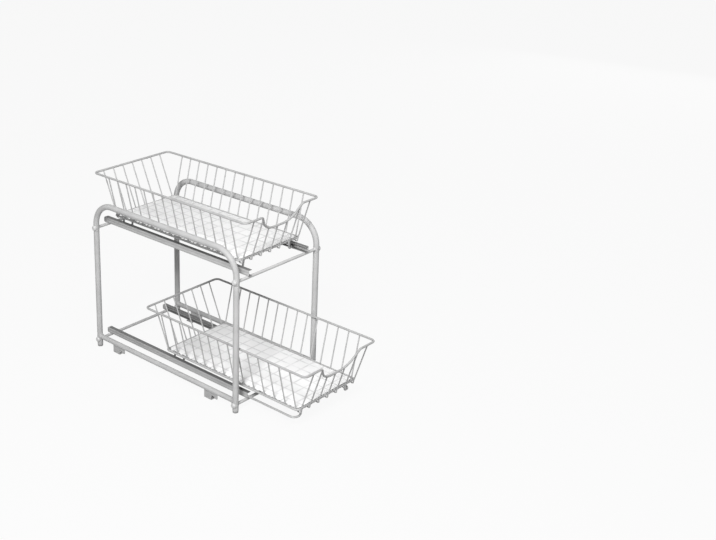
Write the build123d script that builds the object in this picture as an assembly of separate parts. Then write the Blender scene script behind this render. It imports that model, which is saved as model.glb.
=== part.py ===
from build123d import *
import math
import os

# Two-tier pull-out cabinet basket: two wire baskets that slide forward on
# channels inside a tube frame. Millimetres. X runs across, -Y is the front (the
# side the baskets pull out of), +Z is up. Places are written from the middle of
# the four legs, at floor level; the saved parts have their origin at the centre
# of the four floor screws, ORIGIN_Y behind that.

# ---- driving dimensions --------------------------------------------------------
FRAME_DEPTH = 425.0        # front leg axis to back leg axis
FRAME_WIDTH = 244.0        # left leg axis to right leg axis
FRAME_TOP = 348.0          # axis of the top run of each arch
TIER_PITCH = 271.0         # lower tier to upper tier
PULLED_OUT = 160.0         # how far the lower basket stands open at rest

TUBE_R = 6.35              # half-inch tube
TUBE_WALL = 1.0
BEND_R = 52.0              # arch bends, on the tube's axis
JOINT_Z = 281.0            # where the arch tube sits on the leg
SPIGOT_LENGTH = 14.0       # leg's reduced end inside the arch
SPIGOT_CLEARANCE = 0.1
FOOT_HEIGHT = 4.0
FOOT_PLUG_TOP = 12.0
FOOT_CHAMFER = 1.0

CROSSBAR_R = 3.25
CROSSBAR_Z = 17.5          # lower crossbars; the upper ones are one pitch higher
RAIL_R = 5.5               # bottom side rail between front and back leg
RAIL_Z = 25.0
BOLT_CAP_R = 6.0
BOLT_CAP_PROUD = 3.4       # how far a cap stands out of the leg
BOLT_CAP_EDGE = 1.8

WELD_BITE = 0.25           # how far welded rods sink into each other
TUBE_FLATS = 16            # round sections are prisms with the same area
BAR_FLATS = 12
ROD_FLATS = 8
WIRE_FLATS = 6
THIN_WIRE_FLATS = 4
ARCH_CHORDS = 6            # each bend is this many straight pieces
ROD_CHORDS = 3

CHANNEL_OUTER_X = 91.5     # outer face of the web
CHANNEL_HEIGHT = 13.0
CHANNEL_FLANGE = 9.5
CHANNEL_SHEET = 1.0
CHANNEL_FRONT_Y = -217.0
CHANNEL_BACK_Y = 222.0
STOP_HEAD = 4.5            # end stop that closes a channel at the back
STOP_PLUG = 8.0            # and its plug inside the channel
STOP_CORNER_R = 4.0
STOP_CLEARANCE = 0.2

BRACKET_SHEET = 1.5
BRACKET_BACK_Y = 166.0     # back end of the rear brackets
BRACKET_FRONT_Y = -123.0   # back end of the front brackets
BRACKET_LENGTH = 38.0
BRACKET_TAB_LENGTH = 20.0  # the part that reaches the floor
BRACKET_PRONG_LENGTH = 9.0
BRACKET_PRONG_Z = 8.0
BRACKET_BRIDGE_Z = 12.0
BRACKET_FOOT_WIDTH = 16.0
SCREW_HOLE_R = 2.25

BASKET_HEIGHT = 92.0       # floor frame to rim, on the wires' axes
FLOOR_Z = 46.5             # floor frame of the lower basket
FLOOR_HALF_WIDTH = 91.3
FLOOR_BACK_Y = 183.5
FLOOR_FRONT_Y = -189.9
FLOOR_CORNER_R = 7.0
RIM_HALF_WIDTH = 110.5
RIM_BACK_Y = 227.6
RIM_FRONT_Y = -223.7
RIM_CORNER_R = 10.0

SCOOP_TOP_X = 60.0         # half width of the scoop at the rim
SCOOP_BOTTOM_X = 38.0
SCOOP_DEPTH = 35.0
SCOOP_TOP_R = 8.0
SCOOP_BOTTOM_R = 42.0

RIM_R = 2.4
FLOOR_FRAME_R = 2.0
WIRE_R = 1.4               # wall wires and their runs across the floor
THIN_WIRE_R = 0.9          # wires between them in the floor mesh
THIN_WIRES_PER_GAP = 2
SIDE_WIRES = 14
WIRE_STEP_Y = 27.9
FIRST_WIRE_Y = 179.0
WIRE_STEP_X = 28.0
END_WIRES = 7
HOOK_CHAMFER = 1.2         # cut across the bend of an end wire round the floor frame
HOOK_STUB = 8.0            # end wire's run under the floor before it joins a long run
RIM_BITE = 1.4             # a wall wire ends this far short of the rim's axis

LINER_SHEET = 1.2
LINER_GAP = 0.25           # liner above the floor mesh
LINER_MARGIN = 1.0         # liner inside the wires round it
LINER_CORNER_R = 8.0

RUNNER_R = 2.2
RUNNER_GAP = 0.4           # runner above the channel's lower flange
RUNNER_SIDE_GAP = 0.5      # runner off the channel's web
RUNNER_RISER_X = 70.0      # where a runner rises to the floor
RUNNER_FRONT_Y = -180.5    # its front run across; the riser leans on to the last hoop
RUNNER_TURN_R = 12.0       # bends between the long run and the runs across
RUNNER_BEND_R = 5.0        # bends into the risers

# ---- derived places ------------------------------------------------------------
LEG_X = FRAME_WIDTH / 2
LEG_Y = FRAME_DEPTH / 2
CHANNEL_BOTTOM_Z = CROSSBAR_Z + CROSSBAR_R - WELD_BITE
CHANNEL_MIDDLE_Z = CHANNEL_BOTTOM_Z + CHANNEL_HEIGHT / 2
CHANNEL_LENGTH = CHANNEL_BACK_Y - STOP_HEAD - CHANNEL_FRONT_Y
CHANNEL_MIDDLE_Y = CHANNEL_FRONT_Y + CHANNEL_LENGTH / 2
RUNNER_X = CHANNEL_OUTER_X - CHANNEL_SHEET - RUNNER_SIDE_GAP - RUNNER_R
RUNNER_Z = CHANNEL_BOTTOM_Z + CHANNEL_SHEET + RUNNER_GAP + RUNNER_R
LONG_WIRE_Z = FLOOR_Z - FLOOR_FRAME_R - WIRE_R + WELD_BITE
CROSS_WIRE_Z = LONG_WIRE_Z + 2 * WIRE_R - WELD_BITE
SIDE_WIRE_X = FLOOR_HALF_WIDTH - FLOOR_FRAME_R - WIRE_R + WELD_BITE
HOOK_REACH = FLOOR_FRAME_R + WIRE_R - WELD_BITE
BACK_WIRE_Y = FLOOR_BACK_Y + HOOK_REACH
FRONT_WIRE_Y = FLOOR_FRONT_Y - HOOK_REACH
SIDE_WIRE_YS = [FIRST_WIRE_Y - i * WIRE_STEP_Y for i in range(SIDE_WIRES)]
END_WIRE_XS = [(i - END_WIRES // 2) * WIRE_STEP_X for i in range(END_WIRES)]
SCREW_YS = (BRACKET_FRONT_Y - BRACKET_TAB_LENGTH / 2, BRACKET_BACK_Y - BRACKET_TAB_LENGTH / 2)
ORIGIN_Y = sum(SCREW_YS) / 2
SIDES = {"left": -1, "right": 1}
ENDS = {"front": -1, "back": 1}

os.makedirs("parts", exist_ok=True)


def save(shape, node):
    export_step(Pos(0, -ORIGIN_Y, 0) * shape, f"parts/{node}.step")


def flat_section(radius, flats):
    """Regular polygon with the area of a circle."""
    corner_r = radius * math.sqrt(2 * math.pi / (flats * math.sin(2 * math.pi / flats)))
    return RegularPolygon(corner_r, flats)


def chorded(path, chords):
    """The path with each of its arcs as a few chords, so that a bent rod has few faces."""
    points = [path @ 0]
    done = 0
    for edge in path.order_edges():
        steps = 1 if edge.geom_type == GeomType.LINE else chords
        for step in range(1, steps + 1):
            points.append(path @ ((done + edge.length * step / steps) / path.length))
        done += edge.length
    return Polyline(*points)


def rod(path, radius, flats, chords=ROD_CHORDS):
    """Wire, bar or solid tube along a path, mitred where it turns."""
    line = chorded(path, chords)
    start = Plane(origin=line @ 0, z_dir=line % 0)
    return sweep(start * flat_section(radius, flats), path=line, transition=Transition.RIGHT)


def straight_rod(start, end, radius, flats):
    path = Line(start, end)
    plane = Plane(origin=start, z_dir=path % 0)
    return extrude(plane * flat_section(radius, flats), path.length)


def upright(radius, bottom, top, flats=TUBE_FLATS):
    return extrude(Plane.XY.offset(bottom) * flat_section(radius, flats), top - bottom)


def leg_tube(side, end):
    """Full-height leg, to cut against."""
    return Pos(side * LEG_X, end * LEG_Y, 0) * upright(TUBE_R, 0, FRAME_TOP)


# ---- frame ---------------------------------------------------------------------
def leg(side, end):
    spigot_r = TUBE_R - TUBE_WALL - SPIGOT_CLEARANCE
    spigot_top = JOINT_Z + SPIGOT_LENGTH
    outside = upright(TUBE_R, FOOT_HEIGHT, JOINT_Z)
    spigot = upright(spigot_r, JOINT_Z, spigot_top)
    bore = upright(spigot_r - TUBE_WALL, FOOT_HEIGHT, spigot_top)
    return Pos(side * LEG_X, end * LEG_Y, 0) * (outside + spigot - bore)


def arch(side):
    path = FilletPolyline(
        (side * LEG_X, -LEG_Y, JOINT_Z),
        (side * LEG_X, -LEG_Y, FRAME_TOP),
        (side * LEG_X, LEG_Y, FRAME_TOP),
        (side * LEG_X, LEG_Y, JOINT_Z),
        radius=BEND_R,
    )
    bore = rod(path, TUBE_R - TUBE_WALL, TUBE_FLATS, ARCH_CHORDS)
    return rod(path, TUBE_R, TUBE_FLATS, ARCH_CHORDS) - bore


def bottom_rail(side):
    ends = [(side * LEG_X, end * LEG_Y, RAIL_Z) for end in (-1, 1)]
    return straight_rod(*ends, RAIL_R, BAR_FLATS) - leg_tube(side, -1) - leg_tube(side, 1)


def crossbar(end, tier_z):
    ends = [(side * LEG_X, end * LEG_Y, CROSSBAR_Z + tier_z) for side in (-1, 1)]
    return straight_rod(*ends, CROSSBAR_R, BAR_FLATS) - leg_tube(-1, end) - leg_tube(1, end)


def foot(side, end):
    """Plastic foot: a flange under the leg and a plug inside it."""
    plug_r = TUBE_R - 2 * TUBE_WALL - 2 * SPIGOT_CLEARANCE
    flange = upright(TUBE_R, 0, FOOT_HEIGHT)
    flange = chamfer(flange.faces().sort_by(Axis.Z)[0].edges(), FOOT_CHAMFER)
    plug = upright(plug_r, FOOT_HEIGHT, FOOT_PLUG_TOP)
    return Pos(side * LEG_X, end * LEG_Y, 0) * (flange + plug)


def bolt_cap(side, end, z):
    """Domed cap over the crossbar's bolt, seated on the outside of the leg."""
    cap = upright(BOLT_CAP_R, 0, TUBE_R + BOLT_CAP_PROUD, BAR_FLATS)
    cap = chamfer(cap.faces().sort_by(Axis.Z)[-1].edges(), BOLT_CAP_EDGE)
    cap = Pos(side * LEG_X, end * LEG_Y, z) * Rot(0, side * 90, 0) * cap
    return cap - leg_tube(side, end)


def bolt_caps(tier_z):
    z = CROSSBAR_Z + tier_z
    return Compound([bolt_cap(side, end, z) for side in (-1, 1) for end in (-1, 1)])


def channel_web(side, z):
    """Upright back of a C-section that opens inboard."""
    place = Pos(side * (CHANNEL_OUTER_X - CHANNEL_SHEET / 2), CHANNEL_MIDDLE_Y, z)
    return place * Box(CHANNEL_SHEET, CHANNEL_LENGTH, CHANNEL_HEIGHT)


def channel_flanges(side, z):
    """The section's two flanges, apart from its web so that the groove stays open."""
    reach = (CHANNEL_HEIGHT - CHANNEL_SHEET) / 2
    x = side * (CHANNEL_OUTER_X - (CHANNEL_FLANGE + CHANNEL_SHEET) / 2)
    flange = Box(CHANNEL_FLANGE - CHANNEL_SHEET, CHANNEL_LENGTH, CHANNEL_SHEET)
    return Compound([Pos(x, CHANNEL_MIDDLE_Y, z + way * reach) * flange for way in (-1, 1)])


def channel_stop(side, z):
    """Plastic stop in the back end of a channel: a rounded head and a plug."""
    head = Box(CHANNEL_FLANGE, STOP_HEAD, CHANNEL_HEIGHT)
    head = fillet(head.faces().sort_by(Axis.Y)[-1].edges().filter_by(Axis.X), STOP_CORNER_R)
    plug_width = CHANNEL_FLANGE - CHANNEL_SHEET - STOP_CLEARANCE
    plug_height = CHANNEL_HEIGHT - 2 * CHANNEL_SHEET - 2 * STOP_CLEARANCE
    plug = Box(plug_width, STOP_PLUG, plug_height)
    shift = (CHANNEL_SHEET + STOP_CLEARANCE) / 2
    plug = Pos(-side * shift, -(STOP_HEAD + STOP_PLUG) / 2, 0) * plug
    middle_x = CHANNEL_OUTER_X - CHANNEL_FLANGE / 2
    return Pos(side * middle_x, CHANNEL_BACK_Y - STOP_HEAD / 2, z) * (head + plug)


def floor_bracket(side, back_y):
    """Hangs from the bottom rail: a tab down to a screw foot, and a short prong."""
    front_y = back_y - BRACKET_LENGTH
    tab_y = back_y - BRACKET_TAB_LENGTH
    prong_y = front_y + BRACKET_PRONG_LENGTH
    top_z = RAIL_Z - RAIL_R + WELD_BITE
    outline = Polyline(
        (back_y, top_z),
        (back_y, 0),
        (tab_y, 0),
        (tab_y, BRACKET_BRIDGE_Z),
        (prong_y, BRACKET_BRIDGE_Z),
        (prong_y, BRACKET_PRONG_Z),
        (front_y, BRACKET_PRONG_Z),
        (front_y, top_z),
        close=True,
    )
    plate_plane = Plane(origin=(side * LEG_X, 0, 0), x_dir=(0, 1, 0), z_dir=(1, 0, 0))
    plate = extrude(plate_plane * make_face(outline), BRACKET_SHEET / 2, both=True)
    foot_x = side * (LEG_X - BRACKET_FOOT_WIDTH / 2)
    foot_y = back_y - BRACKET_TAB_LENGTH / 2
    flange = Pos(foot_x, foot_y, BRACKET_SHEET / 2) * Box(
        BRACKET_FOOT_WIDTH, BRACKET_TAB_LENGTH, BRACKET_SHEET
    )
    hole_x = side * (LEG_X - BRACKET_FOOT_WIDTH / 2 - BRACKET_SHEET)
    hole = Pos(hole_x, foot_y, 0) * Cylinder(SCREW_HOLE_R, 4 * BRACKET_SHEET)
    return plate + flange - hole


# ---- baskets, drawn closed on the lower tier ------------------------------------
def wall_y(z, end):
    """Y of the sloping front or back wall at a height, on the rim and floor wires."""
    rise = (z - FLOOR_Z) / BASKET_HEIGHT
    floor_y = FLOOR_BACK_Y if end > 0 else FLOOR_FRONT_Y
    rim_y = RIM_BACK_Y if end > 0 else RIM_FRONT_Y
    return floor_y + rise * (rim_y - floor_y)


def rim():
    """Rim wire with the scoop in its front, made as two mirrored halves."""
    z = FLOOR_Z + BASKET_HEIGHT
    scoop_z = z - SCOOP_DEPTH
    half = FilletPolyline(
        (0, RIM_BACK_Y, z),
        (RIM_HALF_WIDTH, RIM_BACK_Y, z),
        (RIM_HALF_WIDTH, RIM_FRONT_Y, z),
        (SCOOP_TOP_X, RIM_FRONT_Y, z),
        (SCOOP_BOTTOM_X, wall_y(scoop_z, -1), scoop_z),
        (0, wall_y(scoop_z, -1), scoop_z),
        radius=(RIM_CORNER_R, RIM_CORNER_R, SCOOP_TOP_R, SCOOP_BOTTOM_R),
    )
    right = rod(half, RIM_R, ROD_FLATS)
    return right + mirror(right, about=Plane.YZ)


def floor_frame():
    half = FilletPolyline(
        (0, FLOOR_BACK_Y, FLOOR_Z),
        (FLOOR_HALF_WIDTH, FLOOR_BACK_Y, FLOOR_Z),
        (FLOOR_HALF_WIDTH, FLOOR_FRONT_Y, FLOOR_Z),
        (0, FLOOR_FRONT_Y, FLOOR_Z),
        radius=FLOOR_CORNER_R,
    )
    right = rod(half, FLOOR_FRAME_R, WIRE_FLATS)
    return right + mirror(right, about=Plane.YZ)


def scoop_drop(x):
    """How far below the rim the scoop's edge lies, at x from the middle."""
    slant = math.hypot(BASKET_HEIGHT, RIM_FRONT_Y - FLOOR_FRONT_Y) / BASKET_HEIGHT
    depth = SCOOP_DEPTH * slant
    angle = math.atan2(depth, SCOOP_TOP_X - SCOOP_BOTTOM_X)
    tangent = SCOOP_BOTTOM_R * math.tan(angle / 2)
    flat_x = SCOOP_BOTTOM_X - tangent
    side_x = SCOOP_BOTTOM_X + tangent * math.cos(angle)
    x = abs(x)
    if x >= SCOOP_TOP_X:
        drop = 0
    elif x >= side_x:
        drop = (SCOOP_TOP_X - x) * math.tan(angle)
    elif x > flat_x:
        rise = SCOOP_BOTTOM_R - math.sqrt(SCOOP_BOTTOM_R**2 - (x - flat_x) ** 2)
        drop = depth - rise
    else:
        drop = depth
    return drop / slant


def side_hoop(y):
    """One cross hoop: left wall, run across the floor, right wall."""
    rim_z = FLOOR_Z + BASKET_HEIGHT - RIM_BITE
    lean = (RIM_HALF_WIDTH - SIDE_WIRE_X) / BASKET_HEIGHT
    rim_x = SIDE_WIRE_X + lean * (rim_z - FLOOR_Z)
    corner_x = SIDE_WIRE_X + lean * (CROSS_WIRE_Z - FLOOR_Z)
    points = [(-rim_x, rim_z), (-corner_x, CROSS_WIRE_Z), (corner_x, CROSS_WIRE_Z), (rim_x, rim_z)]
    hoop = rod(Polyline(*[(x, y, z) for x, z in points]), WIRE_R, WIRE_FLATS)
    mitre = (math.pi / 2 + math.atan(lean)) / 2
    walls = []
    for side in (-1, 1):
        normal = (side * math.sin(mitre), 0, math.cos(mitre))
        cut = Plane(origin=(side * corner_x, y, CROSS_WIRE_Z), z_dir=normal)
        walls.append(split(hoop, bisect_by=cut, keep=Keep.TOP))
        hoop = split(hoop, bisect_by=cut, keep=Keep.BOTTOM)
    return walls, hoop


def end_wire(x, end):
    """Front or back wall wire at x, hooked under the floor frame."""
    drop = scoop_drop(x) if end < 0 else 0
    rim_z = FLOOR_Z + BASKET_HEIGHT - drop
    frame_y = FLOOR_BACK_Y if end > 0 else FLOOR_FRONT_Y
    wire_y = frame_y + end * HOOK_REACH
    top_z = rim_z - RIM_BITE
    rim_y = wall_y(rim_z, end)
    top_y = rim_y + (wire_y - rim_y) * RIM_BITE / (rim_z - FLOOR_Z)
    path = Polyline(
        (x, top_y, top_z),
        (x, wire_y, FLOOR_Z - HOOK_CHAMFER),
        (x, frame_y + end * HOOK_CHAMFER, LONG_WIRE_Z),
        (x, frame_y - end * HOOK_STUB, LONG_WIRE_Z),
    )
    return rod(path, WIRE_R, WIRE_FLATS)


def long_floor_wires():
    """The end wires' runs along the floor, under the cross runs."""
    ends_y = (FLOOR_FRONT_Y + HOOK_STUB, FLOOR_BACK_Y - HOOK_STUB)
    wires = []
    for x in END_WIRE_XS:
        ends = [(x, y, LONG_WIRE_Z) for y in ends_y]
        wires.append(straight_rod(*ends, WIRE_R, WIRE_FLATS))
    return wires


def between(places):
    """Evenly spaced places in each gap of a row, for the thin wires."""
    parts = THIN_WIRES_PER_GAP + 1
    gaps = list(zip(places, places[1:]))
    return [a + (b - a) * i / parts for a, b in gaps for i in range(1, parts)]


def thin_floor_wires():
    """Thin wires between the thick runs, both ways."""
    long_z = CROSS_WIRE_Z - WIRE_R - THIN_WIRE_R + WELD_BITE
    cross_z = LONG_WIRE_Z + WIRE_R + THIN_WIRE_R - WELD_BITE
    reach = FLOOR_HALF_WIDTH - FLOOR_FRAME_R + WELD_BITE
    wires = []
    for x in between(END_WIRE_XS):
        ends = [(x, y, long_z) for y in (FLOOR_FRONT_Y, FLOOR_BACK_Y)]
        wires.append(straight_rod(*ends, THIN_WIRE_R, THIN_WIRE_FLATS))
    for y in between(SIDE_WIRE_YS):
        ends = [(x, y, cross_z) for x in (-reach, reach)]
        wires.append(straight_rod(*ends, THIN_WIRE_R, THIN_WIRE_FLATS))
    return wires


def liner():
    """Thin sheet that lies on the floor mesh."""
    bottom_z = CROSS_WIRE_Z + WIRE_R + LINER_GAP
    width = 2 * (SIDE_WIRE_X - WIRE_R - LINER_MARGIN)
    length = FLOOR_BACK_Y - FLOOR_FRONT_Y - 2 * (FLOOR_FRAME_R + LINER_MARGIN)
    middle_y = (FLOOR_BACK_Y + FLOOR_FRONT_Y) / 2
    sheet = extrude(RectangleRounded(width, length, LINER_CORNER_R), LINER_SHEET)
    return Pos(0, middle_y, bottom_z) * sheet


def runner(side):
    """Rod that slides in a channel, with both ends and a link bent up to the floor."""
    top_z = CROSS_WIRE_Z - WIRE_R + WELD_BITE
    run_x, riser_x = side * RUNNER_X, side * RUNNER_RISER_X
    back_y, link_y, last_y = SIDE_WIRE_YS[0], SIDE_WIRE_YS[1], SIDE_WIRE_YS[-1]
    path = FilletPolyline(
        (riser_x, back_y, top_z),
        (riser_x, back_y, RUNNER_Z),
        (run_x, back_y, RUNNER_Z),
        (run_x, RUNNER_FRONT_Y, RUNNER_Z),
        (riser_x, RUNNER_FRONT_Y, RUNNER_Z),
        (riser_x, last_y, top_z),
        radius=(RUNNER_BEND_R, RUNNER_TURN_R, RUNNER_TURN_R, RUNNER_BEND_R),
    )
    link = FilletPolyline(
        (run_x, link_y, RUNNER_Z),
        (riser_x, link_y, RUNNER_Z),
        (riser_x, link_y, top_z),
        radius=RUNNER_BEND_R,
    )
    return rod(path, RUNNER_R, ROD_FLATS) + rod(link, RUNNER_R, ROD_FLATS)


def basket():
    """All the pieces of one basket, by name."""
    hoops = [side_hoop(y) for y in SIDE_WIRE_YS]
    side_wires = [wall for walls, _ in hoops for wall in walls]
    cross_runs = [run for _, run in hoops]
    end_wires = [end_wire(x, end) for end in ENDS.values() for x in END_WIRE_XS]
    return {
        "rim": rim(),
        "floor_frame": floor_frame(),
        "side_wires": Compound(side_wires),
        "end_wires": Compound(end_wires),
        "floor_long_wires": Compound(long_floor_wires()),
        "floor_cross_wires": Compound(cross_runs),
        "floor_thin_wires": Compound(thin_floor_wires()),
        "liner": liner(),
        "runner_left": runner(-1),
        "runner_right": runner(1),
    }


def main():
    tiers = {"lower": 0, "upper": TIER_PITCH}
    for side_name, side in SIDES.items():
        save(arch(side), f"arch_{side_name}")
        save(bottom_rail(side), f"bottom_rail_{side_name}")
        save(floor_bracket(side, BRACKET_FRONT_Y), f"floor_bracket_front_{side_name}")
        save(floor_bracket(side, BRACKET_BACK_Y), f"floor_bracket_back_{side_name}")
        for end_name, end in ENDS.items():
            save(leg(side, end), f"leg_{end_name}_{side_name}")
        for tier, tier_z in tiers.items():
            channel_z = CHANNEL_MIDDLE_Z + tier_z
            save(channel_web(side, channel_z), f"channel_web_{tier}_{side_name}")
            save(channel_flanges(side, channel_z), f"channel_flanges_{tier}_{side_name}")
    feet = [foot(side, end) for side in SIDES.values() for end in ENDS.values()]
    save(Compound(feet), "feet")
    stop_zs = [CHANNEL_MIDDLE_Z + tier_z for tier_z in tiers.values()]
    stops = [channel_stop(side, z) for z in stop_zs for side in SIDES.values()]
    save(Compound(stops), "channel_stops")
    for tier, tier_z in tiers.items():
        save(bolt_caps(tier_z), f"bolt_caps_{tier}")
        for end_name, end in ENDS.items():
            save(crossbar(end, tier_z), f"crossbar_{tier}_{end_name}")
    places = {"lower": Pos(0, -PULLED_OUT, 0), "upper": Pos(0, 0, TIER_PITCH)}
    for name, piece in basket().items():
        for tier, place in places.items():
            save(place * piece, f"{tier}_{name}")


main()
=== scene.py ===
import math

import bmesh
import bpy
from mathutils import Matrix, Vector


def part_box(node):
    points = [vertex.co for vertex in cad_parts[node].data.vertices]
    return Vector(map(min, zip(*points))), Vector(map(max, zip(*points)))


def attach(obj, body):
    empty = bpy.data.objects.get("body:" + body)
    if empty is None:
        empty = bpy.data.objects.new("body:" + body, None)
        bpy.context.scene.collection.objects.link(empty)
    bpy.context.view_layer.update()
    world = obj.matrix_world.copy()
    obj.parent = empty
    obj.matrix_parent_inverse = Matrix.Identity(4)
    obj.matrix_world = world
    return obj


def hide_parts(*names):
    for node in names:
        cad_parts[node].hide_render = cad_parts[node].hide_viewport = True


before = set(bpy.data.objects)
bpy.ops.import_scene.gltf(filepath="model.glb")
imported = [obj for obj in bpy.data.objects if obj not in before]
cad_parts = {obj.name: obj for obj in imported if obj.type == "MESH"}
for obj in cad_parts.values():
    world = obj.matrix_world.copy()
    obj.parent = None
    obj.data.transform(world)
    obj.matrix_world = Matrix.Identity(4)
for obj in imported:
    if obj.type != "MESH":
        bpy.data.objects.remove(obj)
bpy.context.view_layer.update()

MM = 0.001
SIDES = {"left": -1, "right": 1}
ENDS = {"front": -1, "back": 1}
TIERS = ("lower", "upper")
SAME_PLACE = 1e-4            # millimetres within which two points count as one
MERGE = 1e-3                 # and within which mirrored halves are joined

# ---- frame: millimetres ---------------------------------------------------------
TUBE_R = 6.35
BEND_R = 52.0
TUBE_SIDES = 40
TUBE_BEND_STEPS = 28
TUBE_EDGE = 0.5              # rounding on the cut ends of the tubes
TUBE_END_REACH = 0.01        # how near the end of an arch its edges lie
JOINT_GAP = 0.4              # groove where the arch tube meets the leg
SPIGOT_R = 5.25
CROSSBAR_R = 3.25
RAIL_R = 5.5
BAR_SIDES = 28
WELD_SIDES = 24
WELD_REACH = 2.0             # weld bead: along the bar
WELD_RISE = 1.1              # and out from it
WELD_ROOT = 0.6              # how far it starts inside the leg
WELD_SINK = 0.3              # how far it is let into the leg's side
WELD_TOE = ((0.0, 0.12), (0.4, -0.1))   # its thin end: past the reach, out from the bar
CAP_SIDES = 32
CAP_R = 6.0
CAP_START = 2.0              # from the leg's axis
CAP_RING = ((2.5, 0.0), (2.1, 0.3))     # seat ring: below the cap's top, in from its side
CAP_DOME_R = 5.3             # domed middle of a bolt cap, inside its seat ring
CAP_DOME = ((2.0, 0.0), (1.3, 0.25), (0.6, 1.2), (0.15, 2.7))
FOOT_R = 6.0
FOOT_ROUND = ((0.0, 1.1), (0.3, 0.35), (1.0, 0.0))  # lower edge: height, in from its side
FOOT_NECK_R = 5.1
FOOT_NECK = 1.1              # shadow gap between the foot's flange and the leg
FOOT_STEP = 0.3              # height of the step from the flange to the neck
FOOT_LAP = 0.2               # how far the neck goes into the leg

CHANNEL_SHEET = 1.0
CHANNEL_FOLD_R = 1.5
CHANNEL_GROOVE = 0.45        # stiffening groove along the web: depth
CHANNEL_GROOVE_HALF = 1.7    # and half its width
CHANNEL_GROOVE_R = 0.4
CHANNEL_EDGE_R = 0.3
STOP_HEAD = 4.5
STOP_CORNER_R = 4.0
STOP_EDGE = 0.5
STOP_PLUG_SIDE = 1.2         # plug inside the web and the flanges
STOP_PLUG_LAP = 0.5          # how far the plug goes into the head

BRACKET_SHEET = 1.5
BRACKET_TAB = 20.0
BRACKET_PRONG = 9.0
BRACKET_PRONG_Z = 8.0
BRACKET_BRIDGE_Z = 12.0
BRACKET_FOLD_R = 2.2
BRACKET_INNER_R = 0.6
BRACKET_FOLD_GAP = 0.01      # keeps the fold's arc off its end points
BRACKET_CORNER_R = 2.0
SCREW_HOLE_R = 2.25
SCREW_INSET = 6.5            # screw hole from the free edge of the bracket's foot
SHEET_EDGE = 0.2             # rounding on cut sheet edges

# ---- basket, in its own frame: Y as if closed, Z from its floor frame --------------
RIM_R = 2.33                 # as wide as the flat faces of the CAD's rod
RIM_HALF_WIDTH = 110.5
RIM_BACK_Y = 227.6
RIM_FRONT_Y = -223.7
RIM_CORNER_R = 10.0
SCOOP_TOP_X = 60.0
SCOOP_BOTTOM_X = 38.0
SCOOP_DEPTH = 35.0
SCOOP_TOP_R = 8.0
SCOOP_BOTTOM_R = 42.0
BASKET_HEIGHT = 92.0
FLOOR_FRAME_R = 2.0
FLOOR_HALF_WIDTH = 91.3
FLOOR_BACK_Y = 183.5
FLOOR_FRONT_Y = -189.9
FLOOR_CORNER_R = 7.0
WIRE_R = 1.4
WIRE_BEND_R = 3.0            # side hoops, at the floor
HOOK_BEND_R = 2.2            # end wires, round the floor frame
HOOK_Z = -6.6                # and under it, before they rise to the mesh
HOOK_LENGTH = 6.0
HOOK_RISE = 5.0
LEAN_BEND_R = 1.5
THIN_WIRE_R = 0.9
THIN_WIRES_PER_GAP = 2
SIDE_WIRES = 14
WIRE_STEP_Y = 27.9
FIRST_WIRE_Y = 179.0
WIRE_STEP_X = 28.0
END_WIRES = 7
WELD_BITE = 0.25
RIM_BITE = 1.4
NUGGET_R = 1.9               # resistance weld where a wire meets the rim
BUTT_WELD_X = 46.0           # where the ends of the rim rod are joined
BUTT_WELD_HALF = 1.8
BUTT_WELD_FLAT = 0.8         # half width of its top
BUTT_WELD_RISE = 0.3
BUTT_WELD_ROOT = 0.2         # how far its sides start inside the rod

LINER_CORNER_R = 8.0
LINER_EDGE = 0.35

RUNNER_R = 2.2
RUNNER_X = 87.8
RUNNER_RISER_X = 70.0
RUNNER_Z = -22.4             # long run, below the floor frame
RUNNER_TOP_Z = -1.75         # top of the risers, in the floor mesh
RUNNER_TURN_R = 12.0
RUNNER_BEND_R = 5.0
RUNNER_LEAN = 3.2            # how far the front riser leans forward
RUNNER_BEAD = ((0.0, 0.9), (1.0, 0.6), (2.2, -0.1))  # weld: along the link, out from it
RUNNER_BEAD_SEAT = 0.6       # where it starts, as a share of the rod's radius

LONG_WIRE_Z = WELD_BITE - FLOOR_FRAME_R - WIRE_R
CROSS_WIRE_Z = LONG_WIRE_Z + 2 * WIRE_R - WELD_BITE
SIDE_WIRE_X = FLOOR_HALF_WIDTH - FLOOR_FRAME_R - WIRE_R + WELD_BITE
HOOK_REACH = FLOOR_FRAME_R + WIRE_R - WELD_BITE
SIDE_WIRE_YS = [FIRST_WIRE_Y - i * WIRE_STEP_Y for i in range(SIDE_WIRES)]
END_WIRE_XS = [(i - END_WIRES // 2) * WIRE_STEP_X for i in range(END_WIRES)]
LATTICE_HALF = 2.6           # lines of the lattice seen in the liner: half width
LINER_TONE = "F6F6F6"
LINER_LINE_TONE = "D6D6D6"

# ---- camera, floor and light: metres ----------------------------------------------
CAMERA_PLACE = (-1.6108, -1.6235, 1.1871)
CAMERA_DOWN = 18.607          # degrees below level
CAMERA_TURN = -45.430         # degrees from straight back
CAMERA_LENS = 57.11
CAMERA_SHIFT = (0.2039, -0.1257)
FLOOR_SIZE = 12.0
LAMP_AIM = (0.0, -0.08, 0.2)
WORLD_LIGHT = 0.12
FLOOR_BACKGROUND = 0.93       # share of the floor's look that is plain background
FLOOR_TONE = "B4B4B4"
WHITE = (1, 1, 1, 1)
LAMPS = (                     # name, place, size across, watts
    ("key", (-1.95, -1.1, 2.15), 0.7, 78),
    ("front", (-0.25, -1.6, 2.35), 1.2, 25),
    ("fill", (3.3, 0.3, 1.0), 1.8, 18),
    ("low", (-2.3, -1.5, 0.55), 1.4, 11),
)


# ---- shapes -----------------------------------------------------------------------
def turned(direction):
    """Matrix that turns +Z to a direction."""
    return Vector(direction).to_track_quat("Z", "Y").to_matrix().to_4x4()


def only(geometry, kind):
    return [item for item in geometry if isinstance(item, kind)]


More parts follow.
